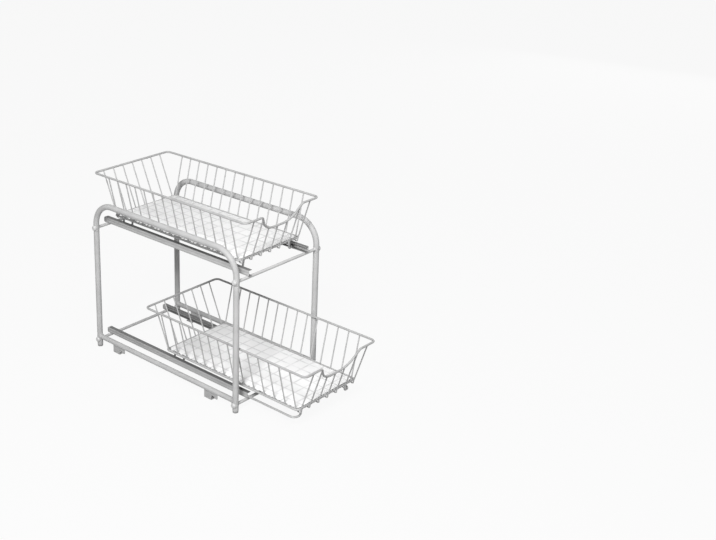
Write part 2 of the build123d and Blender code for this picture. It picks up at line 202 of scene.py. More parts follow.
def add_rod(bm, points, radius, bends=0.0, sides=12, steps=6):
    """Round rod through points, in millimetres; each corner is an arc."""
    points = [Vector(point) for point in points]
    runs = [(b - a).normalized() for a, b in zip(points, points[1:])]
    if not isinstance(bends, list):
        bends = [bends] * (len(runs) - 1)
    matrix = Matrix.Translation(points[0]) @ turned(runs[0])
    made = bmesh.ops.create_circle(bm, cap_ends=True, segments=sides, radius=radius, matrix=matrix)
    face = made["verts"][0].link_faces[0]
    place = points[0]
    for i, run in enumerate(runs):
        turn = run.angle(runs[i + 1]) if i + 1 < len(runs) else 0.0
        setback = bends[i] * math.tan(turn / 2) if turn else 0.0
        end = points[i + 1] - run * setback
        grown = bmesh.ops.extrude_face_region(bm, geom=[face])["geom"]
        bmesh.ops.translate(bm, vec=end - place, verts=only(grown, bmesh.types.BMVert))
        face = only(grown, bmesh.types.BMFace)[0]
        place = end
        if turn:
            axis = run.cross(runs[i + 1]).normalized()
            swung = bmesh.ops.spin(
                bm,
                geom=[face],
                cent=end + axis.cross(run) * bends[i],
                axis=axis,
                angle=turn,
                steps=steps,
            )
            face = only(swung["geom_last"], bmesh.types.BMFace)[0]
            place = points[i + 1] + runs[i + 1] * setback


def add_lathe(bm, profile, matrix, sides=24):
    """Turned shape: (distance along the axis, radius) pairs spun round local Z."""
    fresh = bmesh.new()
    verts = [fresh.verts.new((radius, 0, along)) for along, radius in profile]
    edges = [fresh.edges.new(pair) for pair in zip(verts, verts[1:])]
    bmesh.ops.spin(
        fresh,
        geom=verts + edges,
        axis=(0, 0, 1),
        angle=2 * math.pi,
        steps=sides,
        use_merge=True,
    )
    bmesh.ops.remove_doubles(fresh, verts=fresh.verts, dist=SAME_PLACE)
    bmesh.ops.transform(fresh, matrix=matrix, verts=fresh.verts)
    join(bm, fresh)


def join(bm, fresh):
    """Adds a finished shape to a piece's mesh, its normals outward."""
    bmesh.ops.recalc_face_normals(fresh, faces=fresh.faces)
    mesh = bpy.data.meshes.new("shape")
    fresh.to_mesh(mesh)
    fresh.free()
    bm.from_mesh(mesh)
    bpy.data.meshes.remove(mesh)


def rounded(corners, steps=4):
    """Closed outline from (x, y, radius) corners."""
    outline = []
    for i, (x, y, radius) in enumerate(corners):
        here = Vector((x, y))
        if not radius:
            outline.append(here)
            continue
        back = (Vector(corners[i - 1][:2]) - here).normalized()
        ahead = (Vector(corners[(i + 1) % len(corners)][:2]) - here).normalized()
        half = back.angle(ahead) / 2
        middle = here + (back + ahead).normalized() * radius / math.sin(half)
        first = here + back * radius / math.tan(half) - middle
        last = here + ahead * radius / math.tan(half) - middle
        turn = first.angle(last)
        for step in range(steps + 1):
            part = step / steps
            arm = first * math.sin((1 - part) * turn) + last * math.sin(part * turn)
            outline.append(middle + arm / math.sin(turn))
    return outline


def add_prism(bm, outline, depth, matrix, edge=0.0, holes=()):
    """Outline in the local XY plane, with round holes, given a depth along local Z."""
    fresh = bmesh.new()
    verts = [fresh.verts.new((x, y, 0)) for x, y in outline]
    loops = [fresh.edges.new(pair) for pair in zip(verts, verts[1:] + verts[:1])]
    for x, y, radius in holes:
        place = Matrix.Translation((x, y, 0))
        ring = bmesh.ops.create_circle(fresh, segments=32, radius=radius, matrix=place)["verts"]
        loops += list({e for v in ring for e in v.link_edges})
    if holes:
        bmesh.ops.triangle_fill(fresh, use_beauty=True, use_dissolve=False, edges=loops)
    else:
        fresh.faces.new(verts)
    grown = bmesh.ops.extrude_face_region(fresh, geom=fresh.faces[:])["geom"]
    bmesh.ops.translate(fresh, vec=(0, 0, depth), verts=only(grown, bmesh.types.BMVert))
    bmesh.ops.recalc_face_normals(fresh, faces=fresh.faces)
    if edge:
        sharp = [e for e in fresh.edges if e.calc_face_angle(0) > math.radians(50)]
        bmesh.ops.bevel(
            fresh, geom=sharp, offset=edge, segments=2, profile=0.5, affect="EDGES", material=-1
        )
    bmesh.ops.transform(fresh, matrix=matrix, verts=fresh.verts)
    join(bm, fresh)


def finish_piece(name, bm, material, body, nodes, shift=(0, 0, 0), crease=35):
    """Makes an object of a mesh in millimetres; it rides on a body for its nodes."""
    bmesh.ops.recalc_face_normals(bm, faces=bm.faces)
    bmesh.ops.translate(bm, vec=shift, verts=bm.verts)
    bmesh.ops.scale(bm, vec=(MM, MM, MM), verts=bm.verts)
    mesh = bpy.data.meshes.new(name)
    bm.to_mesh(mesh)
    bm.free()
    mesh.shade_smooth()
    mesh.set_sharp_from_angle(angle=math.radians(crease))
    mesh.materials.append(material)
    piece = bpy.data.objects.new(name, mesh)
    bpy.context.scene.collection.objects.link(piece)
    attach(piece, body)
    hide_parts(*nodes)


def low_corner(node):
    return Vector(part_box(node)[0]) / MM


def high_corner(node):
    return Vector(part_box(node)[1]) / MM


def centre(node):
    return (low_corner(node) + high_corner(node)) / 2


# ---- materials --------------------------------------------------------------------
def linear(hex_code):
    """sRGB hex to the linear colour that the shader takes."""
    channels = [int(hex_code[i : i + 2], 16) / 255 for i in (0, 2, 4)]
    bent = [c / 12.92 if c <= 0.04045 else ((c + 0.055) / 1.055) ** 2.4 for c in channels]
    return (*bent, 1.0)


def add_node(tree, kind, values=None, links=None, **settings):
    """Adds a node with its settings, input values and links; gives its first output."""
    node = tree.nodes.new(kind)
    for key, value in settings.items():
        setattr(node, key, value)
    for socket, value in (values or {}).items():
        node.inputs[socket].default_value = value
    for socket, source in (links or {}).items():
        tree.links.new(source, node.inputs[socket])
    return node.outputs[0]


def new_surface(name, roughness, metallic, specular):
    material = bpy.data.materials.new(name)
    material.use_nodes = True
    tree = material.node_tree
    shader = tree.nodes["Principled BSDF"]
    shader.inputs["Roughness"].default_value = roughness
    shader.inputs["Metallic"].default_value = metallic
    shader.inputs["Specular IOR Level"].default_value = specular
    place = tree.nodes.new("ShaderNodeTexCoord").outputs["Object"]
    return material, tree, shader, place


def noise(tree, place, size_mm, detail=2.0, stretch=None):
    """Noise whose grain is size_mm across; stretch scales it along X, Y and Z."""
    if stretch:
        place = add_node(tree, "ShaderNodeMapping", {"Scale": stretch}, {"Vector": place})
    values = {"Scale": 1 / (size_mm * MM), "Detail": detail}
    return add_node(tree, "ShaderNodeTexNoise", values, {"Vector": place})


def blend(tree, low, high, factor):
    """Colour between two hex tones."""
    node = tree.nodes.new("ShaderNodeMix")
    node.data_type = "RGBA"
    first, last, mixed = node.inputs[6], node.inputs[7], node.outputs[2]
    first.default_value, last.default_value = linear(low), linear(high)
    tree.links.new(factor, node.inputs[0])
    return mixed


def mix(tree, colour, tone, factor):
    """A colour that goes to a hex tone as the factor rises."""
    mixed = blend(tree, tone, tone, factor)
    tree.links.new(colour, mixed.node.inputs[6])
    return mixed


def ramp(tree, value, low, high, out_low=0.0, out_high=1.0):
    """Straight-line change from one range of numbers to another, held at the ends."""
    values = {"From Min": low, "From Max": high, "To Min": out_low, "To Max": out_high}
    return add_node(tree, "ShaderNodeMapRange", values, {"Value": value})


def bump(tree, shader, height, depth_mm, strength=1.0):
    values = {"Strength": strength, "Distance": depth_mm * MM}
    normal = add_node(tree, "ShaderNodeBump", values, {"Height": height})
    tree.links.new(normal, shader.inputs["Normal"])


def powder_coat(name, dark, light, roughness=0.45, metallic=0.0, peel_mm=1.4):
    """Silver powder baked on steel: satin, a faint orange peel, dusty tone changes."""
    material, tree, shader, place = new_surface(name, roughness, metallic, 0.12)
    # The dusty clouds are 35 mm across: the coat is a little thicker here and there.
    cloud = noise(tree, place, 35, 3.0)
    tone = blend(tree, dark, light, ramp(tree, cloud, 0.35, 0.65))
    tree.links.new(tone, shader.inputs["Base Color"])
    # Metal flake makes the gloss flicker at the scale of its grains.
    fleck = noise(tree, place, 0.8, 1.0)
    gloss = ramp(tree, fleck, 0.3, 0.7, roughness + 0.07, roughness - 0.07)
    tree.links.new(gloss, shader.inputs["Roughness"])
    bump(tree, shader, noise(tree, place, peel_mm, 2.0), 0.05, 0.5)
    return material


def drawn_sheet(name, dark, light, painted_flange_shade):
    """Grey-coated roll-formed steel: fine lines along its length, from the rolls, and painted
    shade on its flanges.
    """
    material, tree, shader, place = new_surface(name, 0.45, 0.1, 0.2)
    lines = noise(tree, place, 0.9, 3.0, (1.0, 0.02, 1.0))
    cloud = noise(tree, place, 30, 2.0)
    mixed = add_node(tree, "ShaderNodeMath", links={0: lines, 1: cloud}, operation="MULTIPLY")
    # Painted shade: faces that look up or down, mostly the flanges, take a darker tone that stands
    # for the shade on them.
    facing = tree.nodes.new("ShaderNodeSeparateXYZ")
    tree.links.new(tree.nodes.new("ShaderNodeTexCoord").outputs["Normal"], facing.inputs[0])
    level = add_node(tree, "ShaderNodeMath", links={0: facing.outputs["Z"]}, operation="ABSOLUTE")
    sheet = blend(tree, dark, light, ramp(tree, mixed, 0.12, 0.40))
    tone = mix(tree, sheet, painted_flange_shade, ramp(tree, level, 0.55, 0.85))
    tree.links.new(tone, shader.inputs["Base Color"])
    tree.links.new(ramp(tree, lines, 0.3, 0.7, 0.38, 0.55), shader.inputs["Roughness"])
    bump(tree, shader, lines, 0.03, 0.4)
    return material


def zinc_plate(name, dark, light):
    """Bright zinc on pressed steel: small spangles that differ a little in tone."""
    material, tree, shader, place = new_surface(name, 0.4, 0.55, 0.5)
    spangle = tree.nodes.new("ShaderNodeTexVoronoi")
    spangle.inputs["Scale"].default_value = 1 / (2.5 * MM)
    tree.links.new(place, spangle.inputs["Vector"])
    grain = add_node(tree, "ShaderNodeSeparateColor", links={"Color": spangle.outputs["Color"]})
    tree.links.new(blend(tree, dark, light, grain), shader.inputs["Base Color"])
    tree.links.new(ramp(tree, grain, 0.0, 1.0, 0.34, 0.5), shader.inputs["Roughness"])
    bump(tree, shader, noise(tree, place, 0.7, 2.0), 0.03, 0.4)
    return material


def moulded_plastic(name, dark, light, roughness):
    """Moulded plastic: even colour with a fine spark-eroded grain from the mould."""
    material, tree, shader, place = new_surface(name, roughness, 0.0, 0.4)
    cloud = noise(tree, place, 6, 2.0)
    tone = blend(tree, dark, light, ramp(tree, cloud, 0.3, 0.7))
    tree.links.new(tone, shader.inputs["Base Color"])
    bump(tree, shader, noise(tree, place, 0.35, 2.0), 0.04, 0.5)
    return material


def wire_lines(tree, distance, pitch_mm, offset_mm, half_mm):
    """1 on evenly spaced lines along one axis, soft at their edges, else 0."""
    half = pitch_mm / 2
    values = {1: (half - offset_mm) * MM}
    moved = add_node(tree, "ShaderNodeMath", values, {0: distance}, operation="ADD")
    values = {1: pitch_mm * MM}
    wrapped = add_node(tree, "ShaderNodeMath", values, {0: moved}, operation="FLOORED_MODULO")
    off = add_node(tree, "ShaderNodeMath", {1: half * MM}, {0: wrapped}, operation="SUBTRACT")
    away = add_node(tree, "ShaderNodeMath", links={0: off}, operation="ABSOLUTE")
    return ramp(tree, away, half_mm * MM, half_mm * 0.35 * MM)


def liner_sheet(name, offset_y):
    """Milky polypropylene: the floor mesh that it lies on shows through as soft lines."""
    material, tree, shader, place = new_surface(name, 0.42, 0.0, 0.4)
    split = tree.nodes.new("ShaderNodeSeparateXYZ")
    tree.links.new(place, split.inputs[0])
    middle_x, middle_y = WIRE_STEP_X / 2, offset_y + WIRE_STEP_Y / 2
    across = wire_lines(tree, split.outputs["Y"], WIRE_STEP_Y, middle_y, LATTICE_HALF)
    along = wire_lines(tree, split.outputs["X"], WIRE_STEP_X, middle_x, LATTICE_HALF)
    mesh = add_node(tree, "ShaderNodeMath", links={0: across, 1: along}, operation="MAXIMUM")
    # The sheet doesn't touch every wire, so the lines fade in and out over 25 mm.
    touch = ramp(tree, noise(tree, place, 25, 2.0), 0.35, 0.6, 0.35, 1.0)
    shown = add_node(tree, "ShaderNodeMath", links={0: mesh, 1: touch}, operation="MULTIPLY")
    tone = blend(tree, LINER_TONE, LINER_LINE_TONE, shown)
    tree.links.new(tone, shader.inputs["Base Color"])
    bump(tree, shader, noise(tree, place, 0.9, 3.0), 0.04, 0.5)
    return material


TUBE_COAT = powder_coat("silver_powder_coat", "B0B0B0", "BABABA")
BAR_COAT = powder_coat("silver_coat_on_bars", "BCBCBC", "C6C6C6")
RIM_COAT = powder_coat("silver_coat_on_rims", "A6A6A6", "B0B0B0", 0.42, 0.0, 1.0)
WIRE_COAT = powder_coat("silver_coat_on_wires", "AEAEAE", "B8B8B8", 0.42, 0.0, 0.8)
RUNNER_COAT = powder_coat("worn_coat_on_runners", "B0B0B0", "BABABA", 0.32, 0.15, 0.8)
# its last tone, 6E6E6E, is painted shade on the channel flanges
CHANNEL_STEEL = drawn_sheet("coated_channel_steel", "AAAAAA", "B8B8B8", "6E6E6E")
BRACKET_ZINC = zinc_plate("zinc_plated_steel", "A2A2A2", "B2B2B2")
CAP_PLASTIC = moulded_plastic("satin_cap_plastic", "BCBCBC", "C6C6C6", 0.45)
STOP_PLASTIC = moulded_plastic("grey_stop_plastic", "9C9C9C", "A6A6A6", 0.5)
FOOT_PLASTIC = moulded_plastic("grey_foot_plastic", "8E8E8E", "989898", 0.55)


# ---- frame pieces -----------------------------------------------------------------
def build_legs():
    for side_name in SIDES:
        joint_z = low_corner(f"arch_{side_name}").z
        for end_name in ENDS:
            node = f"leg_{end_name}_{side_name}"
            leg = centre(node)
            foot_z = low_corner(node).z
            top_z = joint_z - JOINT_GAP
            profile = [
                (foot_z, 0),
                (foot_z, TUBE_R - TUBE_EDGE),
                (foot_z + TUBE_EDGE, TUBE_R),
                (top_z - TUBE_EDGE, TUBE_R),
                (top_z, TUBE_R - TUBE_EDGE),
                (top_z, SPIGOT_R),
                (high_corner(node).z, SPIGOT_R),
                (high_corner(node).z, 0),
            ]
            bm = bmesh.new()
            add_lathe(bm, profile, Matrix.Translation((leg.x, leg.y, 0)), TUBE_SIDES)
            finish_piece(f"tube_{node}", bm, TUBE_COAT, "frame", [node])


def build_arches():
    for side_name in SIDES:
        node = f"arch_{side_name}"
        front = centre(f"leg_front_{side_name}")
        back = centre(f"leg_back_{side_name}")
        joint_z = low_corner(node).z
        top_z = high_corner(node).z - TUBE_R
        path = [
            (front.x, front.y, joint_z),
            (front.x, front.y, top_z),
            (back.x, back.y, top_z),
            (back.x, back.y, joint_z),
        ]
        bm = bmesh.new()
        add_rod(bm, path, TUBE_R, BEND_R, TUBE_SIDES, TUBE_BEND_STEPS)
        low_z = joint_z + TUBE_END_REACH
        ends = [e for e in bm.edges if all(v.co.z < low_z for v in e.verts)]
        bmesh.ops.bevel(
            bm, geom=ends, offset=TUBE_EDGE, segments=2, profile=0.5, affect="EDGES", material=-1
        )
        finish_piece(f"bent_{node}", bm, TUBE_COAT, "frame", [node])


def add_bar(bm, start, end, radius):
    """Bar between two legs, with a weld bead where it meets each."""
    start, end = Vector(start), Vector(end)
    add_rod(bm, [start, end], radius, 0, BAR_SIDES)
    along = (end - start).normalized()
    for place, way in ((start, along), (end, -along)):
        # The bead starts inside the leg, because the leg's side curves away from the bar.
        hidden = TUBE_R - math.sqrt(TUBE_R**2 - radius**2) + WELD_ROOT
        profile = [
            (-hidden, radius + WELD_RISE),
            (0.0, radius + WELD_RISE),
            (WELD_REACH * 0.5, radius + WELD_RISE * 0.6),
        ]
        profile += [(WELD_REACH + past, radius + out) for past, out in WELD_TOE]
        seat = Matrix.Translation(place + way * (TUBE_R - WELD_SINK)) @ turned(way)
        add_lathe(bm, profile, seat, WELD_SIDES)


def build_bars():
    for side_name in SIDES:
        node = f"bottom_rail_{side_name}"
        rail = centre(node)
        ys = [centre(f"leg_{end_name}_{side_name}").y for end_name in ENDS]
        bm = bmesh.new()
        add_bar(bm, (rail.x, ys[0], rail.z), (rail.x, ys[1], rail.z), RAIL_R)
        finish_piece(f"welded_{node}", bm, TUBE_COAT, "frame", [node])
    for tier in TIERS:
        for end_name in ENDS:
            node = f"crossbar_{tier}_{end_name}"
            bar = centre(node)
            xs = [centre(f"leg_{end_name}_{side_name}").x for side_name in SIDES]
            bm = bmesh.new()
            add_bar(bm, (xs[0], bar.y, bar.z), (xs[1], bar.y, bar.z), CROSSBAR_R)
            finish_piece(f"welded_{node}", bm, BAR_COAT, "frame", [node])


def build_bolt_caps():
    for tier in TIERS:
        node = f"bolt_caps_{tier}"
        z = centre(node).z
        bm = bmesh.new()
        for side_name, side in SIDES.items():
            for end_name in ENDS:
                leg = centre(f"leg_{end_name}_{side_name}")
                reach = high_corner(node).x - abs(leg.x)
                profile = [(CAP_START, CAP_R)]
                profile += [(reach - down, CAP_R - inward) for down, inward in CAP_RING]
                profile += [(reach - down, CAP_DOME_R - inward) for down, inward in CAP_DOME]
                profile += [(reach, 0)]
                place = Matrix.Translation((leg.x, leg.y, z)) @ turned((side, 0, 0))
                add_lathe(bm, profile, place, CAP_SIDES)
        finish_piece(f"domed_{node}", bm, CAP_PLASTIC, "frame", [node])


def build_feet():
    bm = bmesh.new()
    for side_name in SIDES:
        for end_name in ENDS:
            node = f"leg_{end_name}_{side_name}"
            leg = centre(node)
            top = low_corner(node).z
            profile = [(0, 0)]
            profile += [(height, FOOT_R - inward) for height, inward in FOOT_ROUND]
            profile += [
                (top - FOOT_NECK, FOOT_R),
                (top - FOOT_NECK + FOOT_STEP, FOOT_NECK_R),
                (top + FOOT_LAP, FOOT_NECK_R),
                (top + FOOT_LAP, 0),
            ]
            add_lathe(bm, profile, Matrix.Translation((leg.x, leg.y, 0)), CAP_SIDES)
    finish_piece("moulded_feet", bm, FOOT_PLASTIC, "frame", ["feet"])


def channel_outline(outer, inner, bottom, top):
    """Section of a slide channel, across and up, as if on the right-hand side."""
    sheet = CHANNEL_SHEET
    middle = (bottom + top) / 2
    half = CHANNEL_GROOVE_HALF
    deep = outer - CHANNEL_GROOVE
    edge_r, groove_r = CHANNEL_EDGE_R, CHANNEL_GROOVE_R
    return rounded(
        [
            (inner, bottom, edge_r),
            (outer, bottom, CHANNEL_FOLD_R),
            (outer, middle - half, groove_r),
            (deep, middle - half / 2, groove_r),
            (deep, middle + half / 2, groove_r),
            (outer, middle + half, groove_r),
            (outer, top, CHANNEL_FOLD_R),
            (inner, top, edge_r),
            (inner, top - sheet, edge_r),
            (outer - sheet, top - sheet, CHANNEL_FOLD_R - sheet),
            (outer - sheet, middle + half, groove_r),
            (deep - sheet, middle + half / 2, groove_r),
            (deep - sheet, middle - half / 2, groove_r),
            (outer - sheet, middle - half, groove_r),
            (outer - sheet, bottom + sheet, CHANNEL_FOLD_R - sheet),
            (inner, bottom + sheet, edge_r),
        ]
    )


def along_y(side, y):
    """Lays local X across (outward), local Y up and local Z along -Y, from y."""
    across = Vector((side, 0, 0))
    up = Vector((0, 0, 1))
    depth = Vector((0, -1, 0))
    turn = Matrix((across, up, depth)).transposed().to_4x4()
    return Matrix.Translation((0, y, 0)) @ turn


def along_x(x):
    """Lays local X along Y, local Y up and local Z along X, from x."""
    return Matrix(((0, 0, 1, x), (1, 0, 0, 0), (0, 1, 0, 0), (0, 0, 0, 1)))


def build_channels():
    for tier in TIERS:
        for side_name, side in SIDES.items():
            web = f"channel_web_{tier}_{side_name}"
            flanges = f"channel_flanges_{tier}_{side_name}"
            low, high = low_corner(web), high_corner(web)
            outer = max(abs(low.x), abs(high.x))
            inner = min(abs(low_corner(flanges).x), abs(high_corner(flanges).x))
            outline = channel_outline(outer, inner, low.z, high.z)
            bm = bmesh.new()
            add_prism(bm, outline, high.y - low.y, along_y(side, high.y), SHEET_EDGE)
            name = f"formed_channel_{tier}_{side_name}"
            finish_piece(name, bm, CHANNEL_STEEL, "frame", [web, flanges])


def build_channel_stops():
    bm = bmesh.new()
    back = high_corner("channel_stops").y
    front = low_corner("channel_stops").y
    for tier in TIERS:
        for side_name, side in SIDES.items():
            web = f"channel_web_{tier}_{side_name}"
            flanges = f"channel_flanges_{tier}_{side_name}"
            low, high = low_corner(web), high_corner(web)
            outer = max(abs(low.x), abs(high.x))
            inner = min(abs(low_corner(flanges).x), abs(high_corner(flanges).x))
            head_y = back - STOP_HEAD
            head = rounded(
                [
                    (head_y, low.z, 0),
                    (back, low.z, STOP_CORNER_R),
                    (back, high.z, STOP_CORNER_R),
                    (head_y, high.z, 0),
                ],
                6,
            )
            add_prism(bm, head, outer - inner, along_x(inner if side > 0 else -outer), STOP_EDGE)
            gap = STOP_PLUG_SIDE
            plug = [
                (front, low.z + gap),
                (head_y + STOP_PLUG_LAP, low.z + gap),
                (head_y + STOP_PLUG_LAP, high.z - gap),
                (front, high.z - gap),
            ]
            place = along_x(inner if side > 0 else gap - outer)
            add_prism(bm, plug, outer - inner - gap, place, SHEET_EDGE)
    finish_piece("moulded_channel_stops", bm, STOP_PLASTIC, "frame", ["channel_stops"])


def build_brackets():
    for side_name, side in SIDES.items():
        for end_name in ENDS:
            node = f"floor_bracket_{end_name}_{side_name}"
            low, high = low_corner(node), high_corner(node)
            back, front = high.y, low.y
            tab = back - BRACKET_TAB
            prong = front + BRACKET_PRONG
            outer = max(abs(low.x), abs(high.x))
            inner = min(abs(low.x), abs(high.x))
            round_r = BRACKET_CORNER_R
            plate = rounded(
                [
                    (back, high.z, 0),
                    (front, high.z, 0),
                    (front, BRACKET_PRONG_Z, round_r),
                    (prong, BRACKET_PRONG_Z, round_r),
                    (prong, BRACKET_BRIDGE_Z, round_r / 2),
                    (tab, BRACKET_BRIDGE_Z, round_r / 2),
                    (tab, BRACKET_FOLD_R, 0),
                    (back, BRACKET_FOLD_R, 0),
                ]
            )
            near_x = outer - BRACKET_SHEET if side > 0 else -outer
            bm = bmesh.new()
            add_prism(bm, plate, BRACKET_SHEET, along_x(near_x), SHEET_EDGE)
            fold = rounded(
                [
                    (outer, BRACKET_FOLD_R, 0),
                    (outer, 0, BRACKET_FOLD_R - BRACKET_FOLD_GAP),
                    (outer - BRACKET_FOLD_R, 0, 0),
                    (outer - BRACKET_FOLD_R, BRACKET_SHEET, 0),
                    (outer - BRACKET_SHEET, BRACKET_SHEET, BRACKET_INNER_R),
                    (outer - BRACKET_SHEET, BRACKET_FOLD_R, 0),
                ],
                6,
            )
            add_prism(bm, fold, BRACKET_TAB, along_y(side, back))
            painted_flange_shade = rounded(
                [
                    (side * (outer - BRACKET_FOLD_R), tab, 0),
                    (side * (outer - BRACKET_FOLD_R), back, 0),
                    (side * inner, back, round_r),
                    (side * inner, tab, round_r),
                ]
            )
            hole = (side * (inner + SCREW_INSET), (tab + back) / 2, SCREW_HOLE_R)
            add_prism(bm, painted_flange_shade, BRACKET_SHEET, Matrix.Identity(4), SHEET_EDGE, [hole])
            finish_piece(f"pressed_{node}", bm, BRACKET_ZINC, "frame", [node])


# ---- basket pieces ----------------------------------------------------------------
def wall_y(height, end):
    """Y of the sloping front or back wall at a height above the floor frame."""
    floor_y, rim_y = (FLOOR_BACK_Y, RIM_BACK_Y) if end > 0 else (FLOOR_FRONT_Y, RIM_FRONT_Y)
    return floor_y + height / BASKET_HEIGHT * (rim_y - floor_y)


def scoop_drop(x):
    """How far below the rim the scoop's edge lies, at x from the middle."""
    slant = math.hypot(BASKET_HEIGHT, RIM_FRONT_Y - FLOOR_FRONT_Y) / BASKET_HEIGHT
    depth = SCOOP_DEPTH * slant
    angle = math.atan2(depth, SCOOP_TOP_X - SCOOP_BOTTOM_X)
    tangent = SCOOP_BOTTOM_R * math.tan(angle / 2)
    flat_x = SCOOP_BOTTOM_X - tangent
    side_x = SCOOP_BOTTOM_X + tangent * math.cos(angle)
    x = abs(x)
    if x >= SCOOP_TOP_X:
        drop = 0
    elif x >= side_x:
        drop = (SCOOP_TOP_X - x) * math.tan(angle)
    elif x > flat_x:
        drop = depth - (SCOOP_BOTTOM_R - math.sqrt(SCOOP_BOTTOM_R**2 - (x - flat_x) ** 2))
    else:
        drop = depth
    return drop / slant


def add_loop(bm, half, radius, bends, sides, steps):
    """Closed rod: its right half from back to front, and that half mirrored."""
    fresh = bmesh.new()
    add_rod(fresh, half, radius, bends, sides, steps)
    cut = [f for f in fresh.faces if all(abs(v.co.x) < SAME_PLACE for v in f.verts)]
    bmesh.ops.delete(fresh, geom=cut, context="FACES_ONLY")
    everything = fresh.verts[:] + fresh.edges[:] + fresh.faces[:]
    bmesh.ops.mirror(fresh, geom=everything, axis="X", merge_dist=MERGE)
    join(bm, fresh)


def add_butt_weld(bm, place, radius):
    """Low ring where a rod's ends were joined, ground flush on top and outside."""
    rise, root = BUTT_WELD_RISE, BUTT_WELD_ROOT
    profile = [
        (-BUTT_WELD_HALF, radius - root),
        (-BUTT_WELD_FLAT, radius + rise),
        (BUTT_WELD_FLAT, radius + rise),
        (BUTT_WELD_HALF, radius - root),
    ]
    place = Vector(place) - Vector((0, rise, rise))
    add_lathe(bm, profile, Matrix.Translation(place) @ turned((1, 0, 0)), 18)


def rim_path():
    top = BASKET_HEIGHT
    low = BASKET_HEIGHT - SCOOP_DEPTH
    return [
        (0, RIM_BACK_Y, top),
        (RIM_HALF_WIDTH, RIM_BACK_Y, top),
        (RIM_HALF_WIDTH, RIM_FRONT_Y, top),
        (SCOOP_TOP_X, RIM_FRONT_Y, top),
        (SCOOP_BOTTOM_X, wall_y(low, -1), low),
        (0, wall_y(low, -1), low),
    ]


def floor_path():
    return [
        (0, FLOOR_BACK_Y, 0),
        (FLOOR_HALF_WIDTH, FLOOR_BACK_Y, 0),
        (FLOOR_HALF_WIDTH, FLOOR_FRONT_Y, 0),
        (0, FLOOR_FRONT_Y, 0),
    ]


def hoop_path(y):
    top = BASKET_HEIGHT - RIM_BITE
    lean = (RIM_HALF_WIDTH - SIDE_WIRE_X) / BASKET_HEIGHT
    top_x = SIDE_WIRE_X + lean * top
    low = CROSS_WIRE_Z
    corner_x = SIDE_WIRE_X + lean * low
    return [(-top_x, y, top), (-corner_x, y, low), (corner_x, y, low), (top_x, y, top)]


def end_wire_path(x):
    """From the back rim down, hooked under the floor frame, forward and up again."""
    path = []
    for end in (1, -1):
        rim_z = BASKET_HEIGHT - (scoop_drop(x) if end < 0 else 0)
        wire_y = (FLOOR_BACK_Y if end > 0 else FLOOR_FRONT_Y) + end * HOOK_REACH
        rim_y = wall_y(rim_z, end)
        top_y = rim_y + (wire_y - rim_y) * RIM_BITE / rim_z
        hook_y = wire_y - end * HOOK_LENGTH
        wall = [(x, top_y, rim_z - RIM_BITE), (x, wire_y, 0), (x, wire_y - end, HOOK_Z)]
        wall += [(x, hook_y, HOOK_Z), (x, hook_y - end * HOOK_RISE, LONG_WIRE_Z)]
        path += wall if end > 0 else wall[::-1]
    return path


def between(places):
    """Evenly spaced places in each gap of a row, for the thin wires."""
    parts = THIN_WIRES_PER_GAP + 1
    gaps = list(zip(places, places[1:]))
    return [a + (b - a) * i / parts for a, b in gaps for i in range(1, parts)]


def build_rods_of_basket(tier, body, shift):
    bm = bmesh.new()
    bends = [RIM_CORNER_R, RIM_CORNER_R, SCOOP_TOP_R, SCOOP_BOTTOM_R]
    add_loop(bm, rim_path(), RIM_R, bends, 20, 12)
    add_butt_weld(bm, (BUTT_WELD_X, RIM_BACK_Y, BASKET_HEIGHT), RIM_R)
    finish_piece(f"{tier}_rim_rod", bm, RIM_COAT, body, [f"{tier}_rim"], shift)

    bm = bmesh.new()
    add_loop(bm, floor_path(), FLOOR_FRAME_R, [FLOOR_CORNER_R] * 2, 16, 8)
    nodes = [f"{tier}_floor_frame"]
    finish_piece(f"{tier}_floor_rod", bm, WIRE_COAT, body, nodes, shift)


def build_wires_of_basket(tier, body, shift):
    bm = bmesh.new()
    for y in SIDE_WIRE_YS:
        path = hoop_path(y)
        add_rod(bm, path, WIRE_R, WIRE_BEND_R, 12, 6)
        for place in (path[0], path[-1]):
            matrix = Matrix.Translation(place)
            bmesh.ops.create_icosphere(bm, subdivisions=2, radius=NUGGET_R, matrix=matrix)
    nodes = [f"{tier}_side_wires", f"{tier}_floor_cross_wires"]
    finish_piece(f"{tier}_hoop_wires", bm, WIRE_COAT, body, nodes, shift)

    bm = bmesh.new()
    for x in END_WIRE_XS:
        path = end_wire_path(x)
        hook_bends = [LEAN_BEND_R, HOOK_BEND_R, HOOK_BEND_R, HOOK_BEND_R]
        add_rod(bm, path, WIRE_R, hook_bends + hook_bends[::-1], 12, 6)
        for place in (path[0], path[-1]):
            matrix = Matrix.Translation(place)
            bmesh.ops.create_icosphere(bm, subdivisions=2, radius=NUGGET_R, matrix=matrix)
    nodes = [f"{tier}_end_wires", f"{tier}_floor_long_wires"]
    finish_piece(f"{tier}_hooked_wires", bm, WIRE_COAT, body, nodes, shift)

    bm = bmesh.new()
    reach = FLOOR_HALF_WIDTH - FLOOR_FRAME_R + WELD_BITE
    long_z = CROSS_WIRE_Z - WIRE_R - THIN_WIRE_R + WELD_BITE
    cross_z = LONG_WIRE_Z + WIRE_R + THIN_WIRE_R - WELD_BITE
    for x in between(END_WIRE_XS):
        add_rod(bm, [(x, FLOOR_FRONT_Y, long_z), (x, FLOOR_BACK_Y, long_z)], THIN_WIRE_R, 0, 8)
    for y in between(SIDE_WIRE_YS):
        add_rod(bm, [(-reach, y, cross_z), (reach, y, cross_z)], THIN_WIRE_R, 0, 8)
    nodes = [f"{tier}_floor_thin_wires"]
    finish_piece(f"{tier}_mesh_wires", bm, WIRE_COAT, body, nodes, shift)


